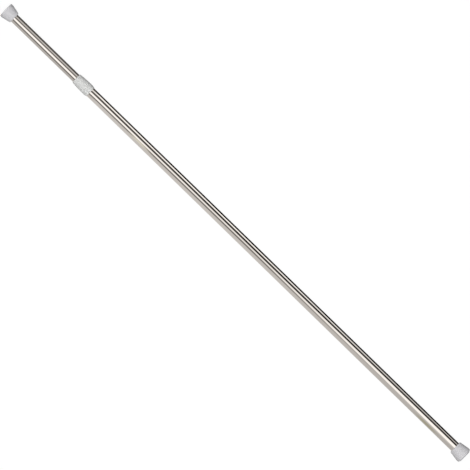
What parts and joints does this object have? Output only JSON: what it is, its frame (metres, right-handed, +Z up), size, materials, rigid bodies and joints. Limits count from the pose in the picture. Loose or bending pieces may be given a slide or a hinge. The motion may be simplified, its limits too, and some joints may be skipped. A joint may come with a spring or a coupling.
{
  "type": "spring tension rod",
  "caption": "Telescopic spring tension rod: polished steel tubes joined by a moulded collar, a flared cup with a friction pad at each end, and a sprung twist lock inside.",
  "frame": {"origin": "centre of the friction pad's flat face on the larger tube's cup", "axes": "+X along the rod's axis from the larger tube's cup towards the smaller tube's cup, +Z up with the rod hung level, +Y across"},
  "size_m": [1.495, 0.0396, 0.0396],
  "materials": {
    "polished_tube": "polished chrome plate on rolled steel tube",
    "collar_moulding": "soft satin, milky light grey",
    "cup_moulding": "soft matte, light lilac grey",
    "pad_rubber": "soft matte",
    "plug_moulding": "as moulded",
    "bush_moulding": "natural white, as moulded",
    "cam_moulding": "as moulded",
    "plated_steel": "bright zinc plate",
    "drawn_steel": "bright drawn bar",
    "spring_steel": "drawn spring wire"
  },
  "bodies": {
    "fixed_half": {"outer_tube": "polished_tube", "joint_collar": "collar_moulding", "fixed_cup": "cup_moulding", "fixed_plug": "plug_moulding", "fixed_pad": "pad_rubber"},
    "brake": {"brake_ring": "bush_moulding"},
    "plunger": {"lock_cam": "cam_moulding", "spring_seat": "cam_moulding", "retaining_disc": "cam_moulding", "retaining_screw": "plated_steel", "roll_pin": "spring_steel", "plunger_rod": "drawn_steel", "stop_washer": "plated_steel", "stop_nut": "plated_steel", "tension_spring": "spring_steel"},
    "sliding_half": {"inner_tube": "polished_tube", "guide_bush": "bush_moulding", "glide_ring": "bush_moulding", "thrust_washer": "plated_steel", "sliding_cup": "cup_moulding", "sliding_plug": "plug_moulding", "sliding_pad": "pad_rubber"}
  },
  "joints": [
    {"name": "telescope_slide", "type": "slide", "parent": "fixed_half", "child": "brake", "axis": [1, 0, 0], "range_m": [-0.165, 0.6]},
    {"name": "twist_lock", "type": "hinge", "parent": "brake", "child": "plunger", "pos_m": [0.349, 0, 0], "axis": [1, 0, 0], "range_deg": [-90, 0]},
    {"name": "spring_stroke", "type": "slide", "parent": "plunger", "child": "sliding_half", "axis": [1, 0, 0], "range_m": [-0.035, 0], "stiffness_N_per_m": 3160, "springref_m": 0.005, "deforming": ["tension_spring"]}
  ]
}
